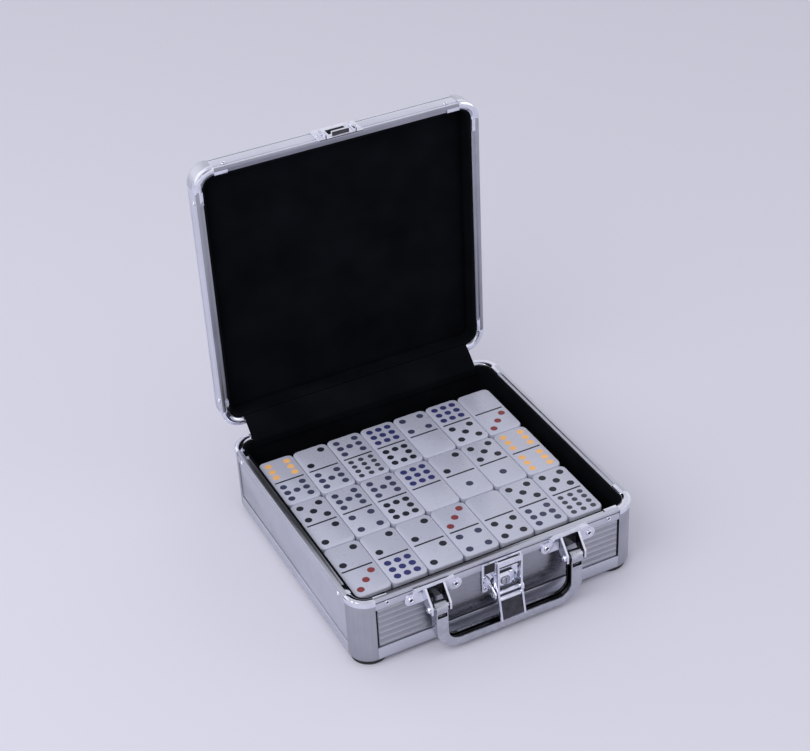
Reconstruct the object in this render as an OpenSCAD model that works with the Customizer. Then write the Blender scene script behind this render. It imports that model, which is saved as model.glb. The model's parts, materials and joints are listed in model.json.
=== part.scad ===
// Domino storage box: an aluminium case with a hinged lid, a drop handle, a rocking
// latch and four stacked layers of tiles. It is drawn with the lid standing open.
// Millimetres, Z up, X along the hinge, front towards -Y. The origin is the centre of
// the footprint of the open case, on the surface it stands on.

/* [Case] */
// Width of the case over the side walls
case_w = 200; // [192:1:220]
// Depth of the case over the front and back walls
case_d = 194; // [188:1:210]
// Height of the base rim above the table
base_h = 52; // [52:1:56]
// Height of the lid from its rim to its top
lid_h = 17.5; // [17:0.5:24]
// Radius of the upright corners
corner_r = 14; // [12:0.5:16]
// Thickness of the aluminium rails and corner posts
wall_t = 5; // [4.5:0.5:5.5]
// Radius of the long bottom and top edges
edge_r = 4.5; // [3:0.5:4.5]
// Height of the rubber feet
foot_h = 2; // [1.5:0.5:3]

/* [Panels] */
// Height of the bottom rail around the base
bottom_rail_h = 11.5; // [9:0.5:13]
// Height of the rim rail around the base
rim_rail_h = 8; // [7:0.5:9]
// Thickness of the side, front and back panels
panel_t = 3; // [2:0.5:3.5]
// How far the panels sit behind the rails
panel_inset = 0.6; // [0.6:0.1:1]
// Number of ribs in each ribbed field of the front panel
rib_count = 7; // [5:1:8]
// How far a rib stands out of the front panel
rib_out = 0.45; // [0.3:0.05:0.5]
// Thickness of the foam lining
lining_t = 2; // [1.5:0.5:2]

/* [Tiles] */
// Width of one tile
tile_w = 24.6; // [23:0.1:24.8]
// Length of one tile
tile_l = 50.4; // [48:0.1:50.6]
// Thickness of one tile
tile_t = 10; // [8:0.5:10]
// Distance from one tile to the next across the case
tile_pitch_x = 25; // [25:0.1:25.2]
// Distance from one tile to the next along the case
tile_pitch_y = 51; // [51:0.1:52]

/* [Handle] */
// Distance between the two handle arms, centre to centre
handle_span = 95; // [88:1:100]
// Width of a handle arm
handle_w = 8; // [7:0.5:8]
// Height of the handle's bottom bar
handle_bar_h = 5.4; // [5:0.2:6.4]
// Depth of the handle from back to front
handle_t = 7; // [6:0.5:7]
// Height of the handle's pins above the table
handle_pin_z = 37; // [36.5:0.5:38]
// Drop from the pins to the underside of the handle
handle_drop = 33; // [32.8:0.2:33.6]

/* [Latch] */
// Width of the latch plate
latch_plate_w = 28; // [26:1:32]
// Height of the latch pivot above the table
latch_pivot_z = 29; // [28.8:0.1:29.2]
// Distance of the latch pivot in front of the case
latch_pivot_out = 8; // [7.9:0.1:8.1]
// Width of the latch rocker
rocker_w = 17.6; // [16:0.2:18]

/* [Hinges] */
// Distance of the hinge line behind the back wall
hinge_out = 5; // [4.8:0.1:5.5]
// Distance between the two hinges, centre to centre
hinge_span = 116; // [100:2:130]
// Width of one hinge
hinge_w = 30; // [26:1:36]

/* [Hidden] */
$fn = 48;

// Gap between the two rims when the lid is shut
rim_gap = 0.5;
hinge_z = base_h + rim_gap / 2;
hinge_y = case_d / 2 + hinge_out;
front = -case_d / 2;
back = case_d / 2;

// The rim steps down on its inside, and the corner caps lie on that step
step_h = 1;
step_w = 2.4;
groove_z = 2.2;
groove_h = 0.7;
groove_in = 0.7;

foot_r = corner_r - 2.2;
bottom_rail_top = foot_h + bottom_rail_h;
rim_rail_bottom = base_h - rim_rail_h;
floor_t = 3;
floor_z = foot_h + 0.5;
lining_floor_z = floor_z + floor_t;
tile_floor_z = lining_floor_z + lining_t;
lining_top = base_h - 1.5;

inner_w = case_w - 2 * wall_t;
inner_d = case_d - 2 * wall_t;
inner_r = corner_r - wall_t;

// Ribbed fields of the front panel lie outside the handle arms
field_in = handle_span / 2;
field_out = case_w / 2 - corner_r - 1.4;
rib_pitch = (rim_rail_bottom - bottom_rail_top) / rib_count;
rib_r = 2.6;
rib_root = 0.3;
seam_w = 1.2;
seam_depth = 1.6;

tile_cols = 7;
tile_rows = 3;
tile_corner_r = 4;
tile_side_gap = 0.5;
tile_front_gap = 5;
tile_x0 = -inner_w / 2 + lining_t + tile_side_gap;
tile_y0 = -inner_d / 2 + lining_t + tile_front_gap;

cap_skirt = 0.6;
cap_skirt_h = 4;
cap_skirt_top = 0.8;
cap_arm = 9;
cap_bead_r = 3.6;
cap_bead_x = 2.8;

// Line sunk between the flat side of a lid rail and its rounded outer edge
lid_line_z = 5.4;
lid_line_h = 0.6;
lid_line_in = 0.5;

rivet_r = 1.7;
rivet_h = 0.9;
hollow_share = 0.5;
rivet_from_corner = 22;
rim_rivet_z = base_h - 4.2;

// Bracket that holds one handle arm
bracket_t = 1.2;
bracket_z = 43.4;
bracket_ear_x = 15.3;
bracket_ear_r = 4.2;
ledge_w = 27.4;
ledge_z = 50;
ledge_t = 1.4;
ledge_out = 3.4;
cheek_t = 1.4;
cheek_x = 5.6;
handle_out = 8.5;
handle_pin_r = 1.5;
pin_head_r = 2.2;
run_fit = 0.06;
handle_outer_r = 16;
handle_inner_r = 8.5;
arm_head_r = 4;
handle_groove = 2.4;
handle_groove_w = 4.2;
notch_w = handle_w - 1.6;
notch_h = 3;
notch_drop = 4.8;
notch_depth = 2;

// Latch plate, its ears and the rocker, in distances out of the front wall
latch_plate_t = 1;
latch_plate_z0 = 27;
latch_plate_z1 = base_h - 2.6;
window_w = latch_plate_w - 3.6;
window_z0 = 40.8;
window_z1 = latch_plate_z1 - 1.4;
pad_t = 0.5;
ear_t = 1.2;
ear_gap = 0.4;
flange_t = 1.3;
latch_pin_r = 1.25;
hook_r = 0.85;
hook_up = 25.4;
hook_out = 2;
rocker_tip = [7.6, -16.6];
thumb_t = 1.1;
thumb_in = 1.5;
roll_r = 1.5;
roll_at = [2, -3.2];
hook_plate_h = 3.4;
lock_w = 12.4;
lock_z0 = 30.6;
lock_z1 = 40.4;
lock_out = 5.4;
barrel_r = 3;
barrel_z = 35;
barrel_proud = 0.9;

// Catch on the lid that the rocker's bar hooks over
lid_rim_z = base_h + rim_gap;
catch_w = 31;
catch_t = 1;
catch_drop = 2.2;
catch_rise = 13;
catch_slot_w = 13;
catch_slot = [2.6, 9];
lug_out = 4.2;
lug_w = 12;
catch_cheek_x = 9.9;

knuckle_r = 3;
hinge_pin_r = 1.2;
leaf_t = 1.4;
leaf_h = 14;
lid_leaf_h = 10.5;
knuckle_gap = 0.2;
mid_knuckle = hinge_w / 4;

// The cloth starts this far in front of the lining on the base's back wall
flap_t = 1;
flap_gap = 0.4;
flap_w = case_w - 2 * corner_r - 1;

// The open lid reaches behind the case and the latch reaches in front of it, so the
// case sits off the origin by half the difference.
lid_reach = hinge_out + rim_gap / 2 + lid_h;
latch_reach = latch_pivot_out + rocker_tip[0];
case_y = (latch_reach - lid_reach) / 2;

// Puts what is drawn about the middle of the base where the base stands
module placed() translate([0, case_y, 0]) children();

// Opens the lid: what is drawn shut is turned up about the hinge line
module opened()
    placed() translate([0, hinge_y, hinge_z]) rotate([-90, 0, 0])
        translate([0, -hinge_y, -hinge_z]) children();

// Draws the lid's shell from its top down, like the base turned over
module lid_side_up() translate([0, 0, base_h + rim_gap + lid_h]) mirror([0, 0, 1]) children();

// Side 0 is the right, then the back, the left and the front
function side_half(i) = (i % 2 == 0 ? case_w : case_d) / 2;
function side_len(i) = 2 * (side_half(i + 1) - corner_r);

// Runs a wall profile (x out of the case, y up) along one side
module along_side(i)
    rotate(90 * i) translate([side_half(i) - wall_t, side_len(i) / 2, 0]) rotate([90, 0, 0])
        linear_extrude(side_len(i)) children();

// Turns a wall profile round the corner after side i
module round_corner(i)
    rotate(90 * i) translate([side_half(i) - corner_r, side_half(i + 1) - corner_r, 0])
        rotate_extrude(angle = 90) translate([corner_r - wall_t, 0]) children();

// On the front wall: x along it, y out of it, z up
module on_front() translate([0, front, 0]) mirror([0, 1, 0]) children();

module rounded_rect(w, d, r) {
    square([w - 2 * r, d], center = true);
    square([w, d - 2 * r], center = true);
    for (x = [-1, 1], y = [-1, 1]) translate([x * (w / 2 - r), y * (d / 2 - r)]) circle(r);
}

// Wall from z0 to z1 with a rounded outer bottom edge that starts at z0
module rounded_foot_profile(z0, z1)
    translate([0, z0]) intersection() {
        square([wall_t, z1 - z0]);
        union() {
            translate([0, edge_r]) square([wall_t, z1 - z0]);
            square([wall_t - edge_r, z1 - z0]);
            translate([wall_t - edge_r, edge_r]) circle(edge_r);
        }
    }

// Takes the inner step and the outer groove off a wall whose rim is at z1
module with_rim(z1)
    difference() {
        children();
        translate([-1, z1 - step_h]) square([step_w + 1, 2 * step_h]);
        translate([wall_t - groove_in, z1 - groove_z - groove_h]) square([1, groove_h]);
    }

// Domed head of a hollow rivet that stands on z = 0
module rivet(r = rivet_r, h = rivet_h) {
    dome_r = (r * r + h * h) / (2 * h);
    rotate_extrude() difference() {
        intersection() {
            translate([0, h - dome_r]) circle(dome_r);
            square([r, h]);
        }
        translate([-1, h / 2]) square([1 + r * hollow_share, h]);
    }
}

// Two rivets on each side of a shell, near its corners
module side_rivets(z)
    for (i = [0:3], s = [-1, 1])
        rotate(90 * i)
            translate([side_half(i), s * (side_half(i + 1) - rivet_from_corner), z])
                rotate([0, 90, 0]) rivet();

// Corner cap: a bead round the top of the post, with a skirt outside and two flat arms
// on the rim's step
module corner_cap(i, z1) {
    round_corner(i) {
        intersection() {
            translate([0, z1 - step_h]) square([wall_t + cap_skirt, step_h]);
            translate([cap_bead_x, z1 - cap_bead_r]) circle(cap_bead_r);
        }
        translate([wall_t, z1 - cap_skirt_h])
            square([cap_skirt, cap_skirt_h - cap_skirt_top]);
    }
    for (s = [0, 1])
        rotate(90 * (i + s))
            translate([side_half(i + s) - wall_t,
                       s == 0 ? side_len(i) / 2 - cap_arm : -side_len(i + 1) / 2,
                       z1 - step_h])
                cube([step_w, cap_arm, step_h]);
}

module base_bottom_panel()
    placed() color("gray") translate([0, 0, floor_z]) linear_extrude(floor_t)
        rounded_rect(inner_w, inner_d, inner_r);

// Flat panel on side i between the two rails, with a seam sunk round its sides and foot
module side_panel(i) {
    panel_h = rim_rail_bottom - bottom_rail_top;
    inner_t = panel_t - seam_depth;
    placed() color("silver")
        rotate(90 * i)
            translate([side_half(i) - panel_inset - panel_t, -side_len(i) / 2, bottom_rail_top]) {
                cube([inner_t, side_len(i), panel_h]);
                translate([inner_t / 2, seam_w, seam_w])
                    cube([panel_t - inner_t / 2, side_len(i) - 2 * seam_w, panel_h - seam_w]);
            }
}

// The front panel adds two ribbed fields, left and right of the handle
module base_front_panel() {
    side_panel(3);
    placed() color("silver") on_front()
        for (s = [-1, 1])
            translate([s * (field_in + field_out) / 2, -panel_inset, 0])
                rotate([90, 0, 90]) linear_extrude(field_out - field_in, center = true)
                    for (k = [0:rib_count - 1])
                        translate([0, bottom_rail_top + rib_pitch * (k + 0.5)])
                            intersection() {
                                translate([rib_out - rib_r, 0]) circle(rib_r);
                                translate([-rib_root, -rib_r]) square([rib_r, 2 * rib_r]);
                            }
}

module bottom_rail(i)
    placed() color("lightgray") along_side(i) rounded_foot_profile(foot_h, bottom_rail_top);

module rim_rail(i)
    placed() color("lightgray") along_side(i)
        with_rim(base_h) translate([0, rim_rail_bottom]) square([wall_t, rim_rail_h]);

// A post stops a step below the rim, where its corner cap begins
module base_post(i)
    placed() color("gainsboro") round_corner(i)
        difference() {
            with_rim(base_h) rounded_foot_profile(foot_h, base_h);
            translate([-1, base_h - step_h]) square([wall_t + 2, 2 * step_h]);
        }

module base_corner_caps() placed() color("white") for (i = [0:3]) corner_cap(i, base_h);

// Rubber discs under the corners that just show below the rounded edge
module feet()
    placed() color("black")
        for (x = [-1, 1], y = [-1, 1])
            translate([x * (case_w / 2 - corner_r), y * (case_d / 2 - corner_r), 0]) {
                cylinder(r = foot_r, h = foot_h);
                cylinder(r = inner_r - 0.3, h = floor_z);
            }

module base_lining_floor()
    placed() color("black") translate([0, 0, lining_floor_z]) linear_extrude(lining_t)
        rounded_rect(inner_w, inner_d, inner_r);

module base_lining_walls()
    placed() color("black") translate([0, 0, tile_floor_z])
        linear_extrude(lining_top - tile_floor_z) difference() {
            rounded_rect(inner_w, inner_d, inner_r);
            rounded_rect(inner_w - 2 * lining_t, inner_d - 2 * lining_t, inner_r - lining_t);
        }

module tile_layer(k)
    placed() color("ivory")
        for (c = [0:tile_cols - 1], r = [0:tile_rows - 1])
            translate([tile_x0 + tile_pitch_x * (c + 0.5), tile_y0 + tile_pitch_y * (r + 0.5),
                       tile_floor_z + tile_t * (k - 1)])
                linear_extrude(tile_t) rounded_rect(tile_w, tile_l, tile_corner_r);

// Riveted plate with a ledge on top and two cheeks that carry the pin
module handle_bracket(s)
    placed() color("silver") on_front() translate([s * handle_span / 2, 0, 0])
        difference() {
            union() {
                translate([0, 0, bracket_z]) rotate([-90, 0, 0]) linear_extrude(bracket_t)
                    rounded_rect(2 * (bracket_ear_x + bracket_ear_r), 2 * bracket_ear_r,
                                 bracket_ear_r);
                translate([-ledge_w / 2, 0, bracket_z])
                    cube([ledge_w, bracket_t, ledge_z + ledge_t - bracket_z]);
                translate([-ledge_w / 2, 0, ledge_z]) cube([ledge_w, ledge_out, ledge_t]);
                for (x = [-cheek_x - cheek_t, cheek_x])
                    translate([x, 0, 0]) rotate([90, 0, 90]) linear_extrude(cheek_t)
                        polygon([[0, ledge_z + 0.5], [ledge_out - 0.6, ledge_z + 0.5],
                                 [handle_out + 3, handle_pin_z + 3],
                                 [handle_out + 3, handle_pin_z - 2.4],
                                 [handle_out - 2.6, handle_pin_z - 2.4],
                                 [0, bracket_z - 4]]);
            }
            translate([0, handle_out, handle_pin_z]) rotate([0, 90, 0])
                cylinder(r = handle_pin_r, h = ledge_w, center = true);
        }

module handle_pins()
    placed() color("white") on_front()
        for (s = [-1, 1])
            translate([s * handle_span / 2, handle_out, handle_pin_z]) rotate([0, 90, 0]) {
                cylinder(r = handle_pin_r, h = 2 * (cheek_x + cheek_t), center = true);
                for (m = [0, 1])
                    mirror([0, 0, m]) translate([0, 0, cheek_x + cheek_t])
                        rivet(pin_head_r, pin_head_r * 0.75);
            }

module handle_rivets()
    placed() color("gray") on_front()
        for (s = [-1, 1], e = [-1, 1])
            translate([s * handle_span / 2 + e * bracket_ear_x, bracket_t, bracket_z])
                rotate([-90, 0, 0]) rivet(2.2, 1.2);

// Upright block with rounded lower corners, drawn in x and z
module round_bottomed(w, top, bottom, r) {
    translate([-w / 2, bottom + r]) square([w, top - bottom - r]);
    translate([-w / 2 + r, bottom]) square([w - 2 * r, r + 1]);
    for (s = [-1, 1]) translate([s * (w / 2 - r), bottom + r]) circle(r);
}

// The open middle of the handle, grown all round by g
module handle_opening(g, top)
    round_bottomed(handle_span - handle_w + 2 * g, top, handle_bar_h - handle_drop - g,
                   handle_inner_r + g);

// U-shaped handle with a groove round its inner edge, and a bored head over a notch on
// each arm
module handle()
    placed() color("lightgray") on_front() translate([0, handle_out, handle_pin_z])
        difference() {
            union() {
                rotate([90, 0, 0]) linear_extrude(handle_t, center = true) difference() {
                    round_bottomed(handle_span + handle_w, 0, -handle_drop, handle_outer_r);
                    handle_opening(0, 1);
                }
                for (s = [-1, 1])
                    translate([s * handle_span / 2, 0, 0]) rotate([0, 90, 0])
                        cylinder(r = arm_head_r, h = handle_w, center = true);
            }
            translate([0, 0.4, 0]) rotate([90, 0, 0])
                linear_extrude(handle_groove_w, center = true)
                    handle_opening(handle_groove, -arm_head_r - 2);
            for (s = [-1, 1])
                translate([s * handle_span / 2, 0, 0]) {
                    translate([0, handle_t / 2, -notch_drop])
                        cube([notch_w, 2 * notch_depth, notch_h], center = true);
                    rotate([0, 90, 0])
                        cylinder(r = handle_pin_r + run_fit, h = 2 * handle_w, center = true);
                }
        }

// Draws a side view (x out of the case, y up from the pivot) as a plate from x0, t thick
module latch_side(x0, t)
    translate([x0, latch_pivot_out, latch_pivot_z]) rotate([90, 0, 90]) linear_extrude(t)
        children();

module latch_shaft(r, len)
    translate([0, latch_pivot_out, latch_pivot_z]) rotate([0, 90, 0])
        cylinder(r = r, h = len, center = true);

// The window of the latch plate as a block from t0 to t1 out of the wall
module latch_window(t0, t1)
    translate([-window_w / 2, t0, window_z0])
        cube([window_w, t1 - t0, window_z1 - window_z0]);

// Plate riveted to the front, with a window at its top and two ears outside the rocker
module latch_plate() {
    ear_x = rocker_w / 2 + ear_gap;
    wall = latch_plate_t / 2 - latch_pivot_out;
    placed() color("silver") on_front() difference() {
        union() {
            difference() {
                translate([-latch_plate_w / 2, 0, latch_plate_z0])
                    cube([latch_plate_w, latch_plate_t, latch_plate_z1 - latch_plate_z0]);
                latch_window(-1, latch_plate_t + 1);
            }
            for (x = [-ear_x - ear_t, ear_x])
                latch_side(x, ear_t)
                    polygon([[wall, -1.5], [-2, -2.6], [1.4, -2.6], [2.6, -1.2], [2.6, 1.4],
                             [0.6, 3.2], [wall, 7]]);
        }
        latch_shaft(latch_pin_r, 2 * latch_plate_w);
    }
}

// Black sheet that backs the window
module latch_window_pad() placed() color("black") on_front() latch_window(0, pad_t);

module latch_rivets()
    placed() color("gray") on_front()
        for (s = [-1, 1], z = [latch_plate_z0 + 3, window_z0 - 2.3])
            translate([s * (latch_plate_w / 2 - 2), latch_plate_t, z])
                rotate([-90, 0, 0]) rivet(1.3, 0.7);

// Block bored for the lock barrel, with its top edge sloped back
module lock_body()
    placed() color("white") on_front() difference() {
        translate([-lock_w / 2, 0, 0]) rotate([90, 0, 90]) linear_extrude(lock_w)
            polygon([[latch_plate_t, lock_z0], [lock_out, lock_z0], [lock_out, lock_z1 - 1.6],
                     [lock_out - 1.2, lock_z1], [latch_plate_t, lock_z1]]);
        translate([0, latch_plate_t + 1, barrel_z]) rotate([-90, 0, 0])
            cylinder(r = barrel_r + run_fit, h = lock_out);
    }

module lock_barrel()
    placed() color("gold") on_front() translate([0, latch_plate_t + 1.1, barrel_z])
        rotate([-90, 0, 0]) difference() {
            cylinder(r = barrel_r, h = lock_out - latch_plate_t - 1.1 + barrel_proud);
            translate([-0.45, -2, lock_out - latch_plate_t - 1.1]) cube([0.9, 4, 2]);
        }

module latch_pin()
    placed() color("white") on_front() {
        end = rocker_w / 2 + ear_gap + ear_t;
        latch_shaft(latch_pin_r, 2 * end);
        for (m = [0, 1])
            mirror([m, 0, 0]) translate([end, latch_pivot_out, latch_pivot_z])
                rotate([0, 90, 0]) rivet(1.9, 0.8);
    }

// Rocker at rest: two flanges, the folded bar that hooks the catch and the thumb plate,
// which has a rolled upper edge and lies a little behind the edges of the flanges
module latch_rocker() {
    tip = rocker_tip;
    sheet_w = rocker_w - flange_t;
    hook_top = hook_up + 1.4;
    hook_face = hook_out + 1.6;
    placed() color("lightgray") on_front() difference() {
        union() {
            for (x = [-rocker_w / 2, rocker_w / 2 - flange_t])
                latch_side(x, flange_t)
                    polygon([[hook_out - 1.6, hook_top], [hook_face, hook_top],
                             [3.3, 4], tip, tip - [2.6, 0.4], [-2.2, -2.4], [-2.2, 2.4]]);
            translate([0, latch_pivot_out + hook_out, latch_pivot_z + hook_up])
                rotate([0, 90, 0]) cylinder(r = hook_r, h = sheet_w, center = true);
            latch_side(-sheet_w / 2, sheet_w)
                polygon([[hook_face - 1.2, hook_top], [hook_face - 0.1, hook_top],
                         [hook_face, hook_top - hook_plate_h],
                         [hook_face - 1.1, hook_top - hook_plate_h]]);
            translate([0, latch_pivot_out + roll_at[0], latch_pivot_z + roll_at[1]])
                rotate([0, 90, 0]) cylinder(r = roll_r, h = sheet_w, center = true);
            latch_side(-sheet_w / 2, sheet_w) translate([-thumb_in, 0])
                polygon([[roll_at[0] + 2, roll_at[1] - 0.6], tip - [0.3, 0.25],
                         tip - [0.3 + thumb_t, 0.35], [roll_at[0] + 2 - thumb_t, roll_at[1] - 1]]);
        }
        latch_shaft(latch_pin_r + run_fit, 2 * rocker_w);
    }
}

// One leaf below the hinge line: plate on the wall, webs and the knuckles at xs
module hinge_leaf(s, h, xs, bore) {
    top = rim_gap / 2 + 2;
    translate([s * hinge_span / 2, back, hinge_z]) difference() {
        union() {
            translate([-hinge_w / 2, 0, -top - h]) cube([hinge_w, leaf_t, h]);
            for (x = xs) translate([x[0], 0, 0]) rotate([90, 0, 90]) linear_extrude(x[1] - x[0])
                union() {
                    translate([hinge_out, 0]) circle(knuckle_r);
                    polygon([[0, -top - 4], [leaf_t, -top - 4], [hinge_out + 2.2, -2],
                             [hinge_out, 0], [hinge_out - 2.6, -1.4], [0, -top]]);
                }
        }
        translate([0, hinge_out, 0]) rotate([0, 90, 0])
            cylinder(r = bore, h = 2 * hinge_w, center = true);
    }
}

module hinge_base_leaf(s)
    placed() color("silver")
        hinge_leaf(s, leaf_h, [[-hinge_w / 2, -mid_knuckle - knuckle_gap],
                               [mid_knuckle + knuckle_gap, hinge_w / 2]], hinge_pin_r);

module hinge_lid_leaf(s)
    opened() color("silver") translate([0, 0, 2 * hinge_z]) mirror([0, 0, 1])
        hinge_leaf(s, lid_leaf_h, [[-mid_knuckle, mid_knuckle]], hinge_pin_r + run_fit);

module hinge_pins()
    placed() color("white")
        for (s = [-1, 1])
            translate([s * hinge_span / 2, hinge_y, hinge_z]) rotate([0, 90, 0]) {
                cylinder(r = hinge_pin_r, h = hinge_w, center = true);
                for (m = [0, 1])
                    mirror([0, 0, m]) translate([0, 0, hinge_w / 2]) rivet(1.8, 0.8);
            }

// Two rivets on each hinge leaf, z above the hinge line
module hinge_rivets(z)
    for (s = [-1, 1], e = [-1, 1])
        translate([s * hinge_span / 2 + e * hinge_w / 3, back + leaf_t, z])
            rotate([-90, 0, 0]) rivet(1.5, 0.8);

// Black cloth from the base's lining to the lid's, clear of both rims
module hinge_flap() {
    y0 = back - wall_t - lining_t - flap_t - flap_gap;
    lid_wall = hinge_z + hinge_out + wall_t;
    placed() color("black") translate([-flap_w / 2, 0, 0]) rotate([90, 0, 90])
        linear_extrude(flap_w)
            polygon([[y0, lining_top - 5], [y0 + flap_t, lining_top - 5],
                     [y0 + flap_t, lining_top + 0.6], [hinge_y - 0.1, lid_wall + 0.35],
                     [hinge_y + 1.6, lid_wall + 1], [hinge_y + 0.4, lid_wall + 1.8],
                     [y0, lining_top + 1.1]]);
}

module lid_rail(i)
    opened() color("lightgray") lid_side_up() along_side(i) difference() {
        with_rim(lid_h) rounded_foot_profile(0, lid_h);
        translate([wall_t - lid_line_in, lid_line_z]) square([1, lid_line_h]);
    }

// The front rail has a slot behind the catch
module lid_rail_front()
    difference() {
        lid_rail(3);
        opened() on_front()
            translate([-catch_slot_w / 2, -2 * wall_t, lid_rim_z + catch_slot[0]])
                cube([catch_slot_w, 3 * wall_t, catch_slot[1] - catch_slot[0]]);
    }

module lid_post(i)
    opened() color("gainsboro") lid_side_up() round_corner(i)
        difference() {
            with_rim(lid_h) rounded_foot_profile(0, lid_h);
            translate([-1, lid_h - step_h]) square([wall_t + 2, 2 * step_h]);
        }

module lid_corner_caps()
    opened() color("white") lid_side_up() for (i = [0:3]) corner_cap(i, lid_h);

module lid_rivets()
    opened() color("gray") {
        lid_side_up() side_rivets(lid_h - 4.2);
        hinge_rivets(hinge_z + rim_gap / 2 + 7.5);
    }

module base_rivets()
    placed() color("gray") {
        side_rivets(rim_rivet_z);
        hinge_rivets(hinge_z - rim_gap / 2 - 10.5);
    }

module lid_top_panel()
    opened() color("silver") lid_side_up() translate([0, 0, 0.5]) linear_extrude(panel_t)
        rounded_rect(inner_w, inner_d, inner_r);

module lid_lining()
    opened() color("black") lid_side_up() translate([0, 0, 0.5 + panel_t]) {
        linear_extrude(lining_t) rounded_rect(inner_w, inner_d, inner_r);
        linear_extrude(lid_h - panel_t - 2) difference() {
            rounded_rect(inner_w, inner_d, inner_r);
            rounded_rect(inner_w - 2 * lining_t, inner_d - 2 * lining_t, inner_r - lining_t);
        }
    }

// Plate over the lid's front wall, with a slot, two cheeks and the lug that is hooked
module lid_catch()
    opened() color("white") on_front() translate([0, 0, lid_rim_z]) {
        difference() {
            translate([-catch_w / 2, 0, -catch_drop])
                cube([catch_w, catch_t, catch_rise + catch_drop]);
            translate([-catch_slot_w / 2, -1, catch_slot[0]])
                cube([catch_slot_w, catch_t + 2, catch_slot[1] - catch_slot[0]]);
        }
        translate([-lug_w / 2, catch_t / 2, -1.5]) cube([lug_w, lug_out - catch_t / 2, 1.9]);
        for (m = [0, 1])
            mirror([m, 0, 0]) translate([catch_cheek_x, catch_t / 2, 0])
                rotate([90, 0, 90]) linear_extrude(1.2)
                    polygon([[0, -catch_drop], [3.2, -catch_drop], [4.2, 0], [3.2, 7],
                             [0, catch_rise - 2]]);
    }

module catch_rivets()
    opened() color("gray") on_front()
        for (s = [-1, 1])
            translate([s * (catch_w / 2 - 2.2), catch_t, lid_rim_z + 5])
                rotate([-90, 0, 0]) rivet(1.4, 0.8);

base_bottom_panel();
base_front_panel();
side_panel(1);  // base_back_panel
side_panel(2);  // base_left_panel
side_panel(0);  // base_right_panel
bottom_rail(3);  // bottom_rail_front
bottom_rail(1);  // bottom_rail_back
bottom_rail(2);  // bottom_rail_left
bottom_rail(0);  // bottom_rail_right
rim_rail(3);  // rim_rail_front
rim_rail(1);  // rim_rail_back
rim_rail(2);  // rim_rail_left
rim_rail(0);  // rim_rail_right
base_post(2);  // base_post_front_left
base_post(3);  // base_post_front_right
base_post(1);  // base_post_back_left
base_post(0);  // base_post_back_right
base_corner_caps();
base_rivets();
feet();
base_lining_floor();
base_lining_walls();
tile_layer(1);  // tile_layer_1
tile_layer(2);  // tile_layer_2
tile_layer(3);  // tile_layer_3
tile_layer(4);  // tile_layer_4
handle_bracket(-1);  // handle_bracket_left
handle_bracket(1);  // handle_bracket_right
handle_pins();
handle_rivets();
handle();
latch_plate();
latch_window_pad();
latch_rivets();
lock_body();
lock_barrel();
latch_pin();
latch_rocker();
hinge_base_leaf(-1);  // hinge_base_leaf_left
hinge_base_leaf(1);  // hinge_base_leaf_right
hinge_lid_leaf(-1);  // hinge_lid_leaf_left
hinge_lid_leaf(1);  // hinge_lid_leaf_right
hinge_pins();
hinge_flap();
lid_top_panel();
lid_rail_front();
lid_rail(1);  // lid_rail_back
lid_rail(2);  // lid_rail_left
lid_rail(0);  // lid_rail_right
lid_post(2);  // lid_post_front_left
lid_post(3);  // lid_post_front_right
lid_post(1);  // lid_post_back_left
lid_post(0);  // lid_post_back_right
lid_corner_caps();
lid_rivets();
lid_lining();
lid_catch();
catch_rivets();
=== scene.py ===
import json
import math
import random

import bmesh
import bpy
from mathutils import Matrix, Vector


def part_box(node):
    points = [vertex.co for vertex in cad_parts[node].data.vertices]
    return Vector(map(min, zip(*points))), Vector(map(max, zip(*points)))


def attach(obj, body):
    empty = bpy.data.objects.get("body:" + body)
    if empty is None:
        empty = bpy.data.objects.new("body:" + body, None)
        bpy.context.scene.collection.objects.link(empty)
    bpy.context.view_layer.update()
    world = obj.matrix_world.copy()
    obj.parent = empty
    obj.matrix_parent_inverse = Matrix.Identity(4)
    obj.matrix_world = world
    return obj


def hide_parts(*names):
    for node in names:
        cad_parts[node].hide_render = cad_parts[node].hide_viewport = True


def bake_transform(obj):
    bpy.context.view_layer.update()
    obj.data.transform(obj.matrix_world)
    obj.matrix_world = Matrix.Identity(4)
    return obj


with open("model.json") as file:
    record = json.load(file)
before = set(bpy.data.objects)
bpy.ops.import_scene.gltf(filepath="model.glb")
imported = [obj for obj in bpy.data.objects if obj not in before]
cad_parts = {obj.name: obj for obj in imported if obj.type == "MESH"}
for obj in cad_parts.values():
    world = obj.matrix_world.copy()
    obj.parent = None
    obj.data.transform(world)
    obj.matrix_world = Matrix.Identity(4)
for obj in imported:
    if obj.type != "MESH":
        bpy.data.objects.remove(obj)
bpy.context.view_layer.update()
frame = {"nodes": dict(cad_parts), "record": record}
nodes = frame["nodes"]
bodies = frame["record"]["behaviour"]["bodies"]
bodyOf = {node: body for body, members in bodies.items() for node in members}
slotOf = {part["node"]: part["material_slot"] for part in frame["record"]["subparts"]}
mm = 0.001
weldWithin = 2e-6       # corners of the solids closer than this are one corner
flatWithin = 0.4        # degrees between two faces that count as one
print("frame loaded:", len(nodes), "nodes")

# the outer faces of the base, read from the frame, and a point midway up the open case
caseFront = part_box("rim_rail_front")[0].y
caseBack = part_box("rim_rail_back")[1].y
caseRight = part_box("rim_rail_right")[1].x
openMiddle = (0, (caseFront + caseBack) / 2, 0.15)


def newMaterial(name):
    mat = bpy.data.materials.new(name)
    mat.use_nodes = True
    tree = mat.node_tree
    return mat, tree, tree.nodes["Principled BSDF"]


def addNode(tree, kind, **values):
    node = tree.nodes.new(kind)
    for key, value in values.items():
        if hasattr(node, key):
            setattr(node, key, value)
        else:
            node.inputs[key.replace("_", " ")].default_value = value
    return node


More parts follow.
